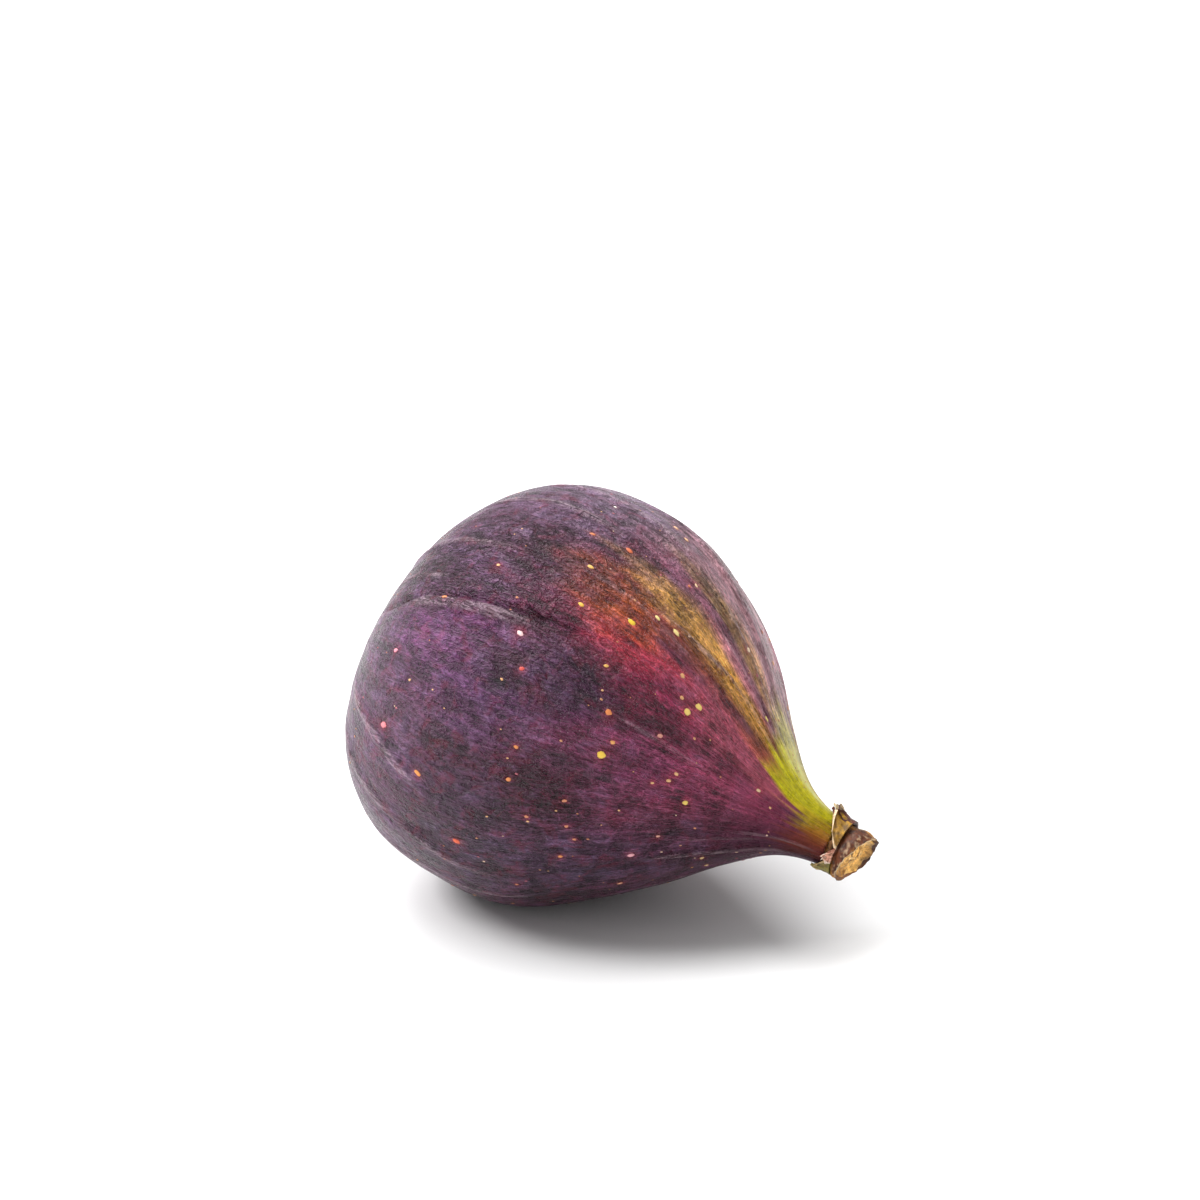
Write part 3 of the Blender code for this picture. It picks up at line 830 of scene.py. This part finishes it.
def make_bract(number, name, node, direction, half_width, height, flare, wave, lean, *codes):
    """A thin pointed scale that wraps the neck's end, with its tip towards the fig's body."""
    body_code, tip_code, near_code, far_code = codes
    seed = 80 + 10 * number
    across, along = np.meshgrid(np.linspace(-1, 1, BRACT_ACROSS), np.linspace(0, 1, BRACT_ALONG))
    u = (across + 1) / 2 * 0.5
    taper = (1 - along ** 2.0) * 0.95 + 0.05
    edge_noise = 0.10 * wave_noise(along * 0.5, 0.5, 22, 1, seed)
    angle = np.radians(direction + lean * along + (across + edge_noise * np.abs(across)) * half_width * taper)
    tip_noise = 0.10 * wave_noise(u, 0.5, 26, 1, seed + 1)
    drop = along * height * (1 - 0.15 * across ** 2 + tip_noise)
    z = NECK_HEIGHT + 0.0001 - drop
    share = np.interp(z, HEIGHTS[600:], SHARES[600:])
    waves = wave * (wave_noise(u, along, 14, 4, seed + 2) + 0.6 * wave_noise(u, along, 30, 8, seed + 3))
    rolled = 0.35 * np.abs(across) ** 5 * along
    lift = (0.12 + flare * along ** 2.2 + np.clip(waves, -0.1, None) * (0.25 + along) + rolled) * MM
    foot, facing = skin_point(angle, share, 0)
    inner = foot + facing * lift[..., None] + np.array([0, 0, BRACT_RISE])
    thick = (0.10 + 0.28 * (1 - along) * (1 - 0.6 * across ** 2)) * MM
    outer = inner + facing * thick[..., None]
    rows = np.concatenate([outer, inner[:, ::-1]], axis=1).reshape(-1, 3)

    tint = np.ones(across.shape + (3,)) * paint(body_code)
    tint = blend_paint(smooth_step(-0.3, 0.6, wave_noise(u, along, 18, 3, seed + 4)) * 0.6, tint, "4a2c14")
    tint = blend_paint(smooth_step(0.60, 0.95, along + 0.15 * wave_noise(u, along, 20, 5, seed + 5)) * 0.9, tint, tip_code)
    tint = blend_paint(smooth_step(0.80, 0.93, across), tint, near_code)
    tint = blend_paint(smooth_step(-0.80, -0.93, across), tint, far_code)
    tints = np.concatenate([tint, tint[:, ::-1]], axis=1).reshape(-1, 3)

    width = 2 * BRACT_ACROSS
    faces = []
    for i in range(BRACT_ALONG - 1):
        for j in range(width):
            k = (j + 1) % width
            faces.append((i * width + j, i * width + k, (i + 1) * width + k, (i + 1) * width + j))
    for i in (0, BRACT_ALONG - 1):
        for j in range(BRACT_ACROSS - 1):
            quad = (i * width + j, i * width + width - 1 - j, i * width + width - 2 - j, i * width + j + 1)
            faces.append(quad if i == 0 else quad[::-1])
    piece = new_piece(name, rows, faces, wood_material(name + "_looks", 1.2, 0.45), node)
    add_values(piece, "tint", "FLOAT_COLOR", np.hstack([tints, np.ones((len(tints), 1))]))


# ---------------------------------------------------------------- eye at the blossom end

def make_eye():
    """Small dry scales that close the eye, in two rings."""
    points, faces, tints = [], [], []
    random = np.random.default_rng(90)
    for count, reach, length, lift in ((9, 2.4, 1.5, 0.10), (6, 1.4, 1.2, 0.22)):
        for i in range(count):
            middle = i / count * TURN + random.uniform(-0.15, 0.15)
            across, along = np.meshgrid(np.linspace(-1, 1, 9), np.linspace(0, 1, 8))
            radius = (reach - along * length * random.uniform(0.85, 1.1)) * MM
            angle = middle + across * (1 - 0.8 * along ** 2) * math.pi / count * 1.15
            share = np.interp(np.abs(radius), RADII[:300], SHARES[:300])
            foot, facing = skin_point(angle, share, 0)
            up = (0.02 + lift * np.sin(along * math.pi * 0.6) + 0.05 * (1 - across ** 2)) * MM
            start = len(points)
            points.extend((foot + facing * up[..., None]).reshape(-1, 3))
            shade = 0.7 + 0.5 * along + random.uniform(-0.1, 0.1)
            tints.extend((shade[..., None] * paint("7a4a34")).reshape(-1, 3))
            for row in range(7):
                for column in range(8):
                    low = start + row * 9 + column
                    faces.append((low, low + 9, low + 10, low + 1))
    piece = new_piece("eye_scales", np.array(points), faces, wood_material("eye_looks", 1.3, 0.6), "fruit")
    add_values(piece, "tint", "FLOAT_COLOR", np.hstack([np.clip(tints, 0, 1), np.ones((len(tints), 1))]))


# ---------------------------------------------------------------- stage

def make_stage():
    size = 1.2
    corners = [(-size, -size, 0), (size, -size, 0), (size, size, 0), (-size, size, 0)]
    mesh = bpy.data.meshes.new("floor")
    mesh.from_pydata(corners, [], [(0, 1, 2, 3)])
    n = Nodes("floor_white")
    n.shader.inputs["Base Color"].default_value = (0.86, 0.86, 0.86, 1)
    n.shader.inputs["Roughness"].default_value = 0.7
    n.shader.inputs["Specular IOR Level"].default_value = 0.2
    mesh.materials.append(n.material)
    floor = bpy.data.objects.new("floor", mesh)
    bpy.context.scene.collection.objects.link(floor)


def add_light(name, place, size, power, colour=(1, 1, 1)):
    light = bpy.data.lights.new(name, "AREA")
    light.shape = "RECTANGLE"
    light.size, light.size_y = size
    light.energy = power
    light.color = colour
    item = bpy.data.objects.new(name, light)
    item.location = place
    item.rotation_mode = "QUATERNION"
    item.rotation_quaternion = (Vector((0, 0, 0.02)) - Vector(place)).to_track_quat("-Z", "Y")
    bpy.context.scene.collection.objects.link(item)


def make_lights():
    world = bpy.data.worlds.new("studio")
    world.use_nodes = True
    background = world.node_tree.nodes["Background"]
    background.inputs["Color"].default_value = (1, 1, 1, 1)
    background.inputs["Strength"].default_value = 0.5
    bpy.context.scene.world = world
    add_light("softbox_top", (-0.26, 0.10, 0.60), (0.8, 0.8), 8.5)
    add_light("softbox_left", (-0.40, -0.30, 0.50), (0.22, 0.22), 3.2)


def make_camera():
    middle = PLACE.translation
    a, e = CAMERA_AZIMUTH, CAMERA_ELEVATION
    back = Vector((math.sin(a) * math.cos(e), -math.cos(a) * math.cos(e), math.sin(e)))
    right = Vector((math.cos(a), math.sin(a), 0))
    up = back.cross(right)
    data = bpy.data.cameras.new("camera")
    data.lens = LENS_MM
    data.sensor_width = SENSOR_MM
    data.clip_start = 0.01
    camera = bpy.data.objects.new("camera", data)
    camera.location = middle + back * CAMERA_DISTANCE + right * CAMERA_ASIDE[0] + up * CAMERA_ASIDE[1]
    camera.rotation_mode = "QUATERNION"
    camera.rotation_quaternion = (-back).to_track_quat("-Z", "Y")
    bpy.context.scene.collection.objects.link(camera)
    bpy.context.scene.camera = camera


bpy.context.scene.view_settings.view_transform = "Standard"
make_camera()
make_lights()
make_stage()
make_fruit()
make_spots()
make_stub()
for number, bract in enumerate(BRACTS):
    make_bract(number, *bract)
make_eye()
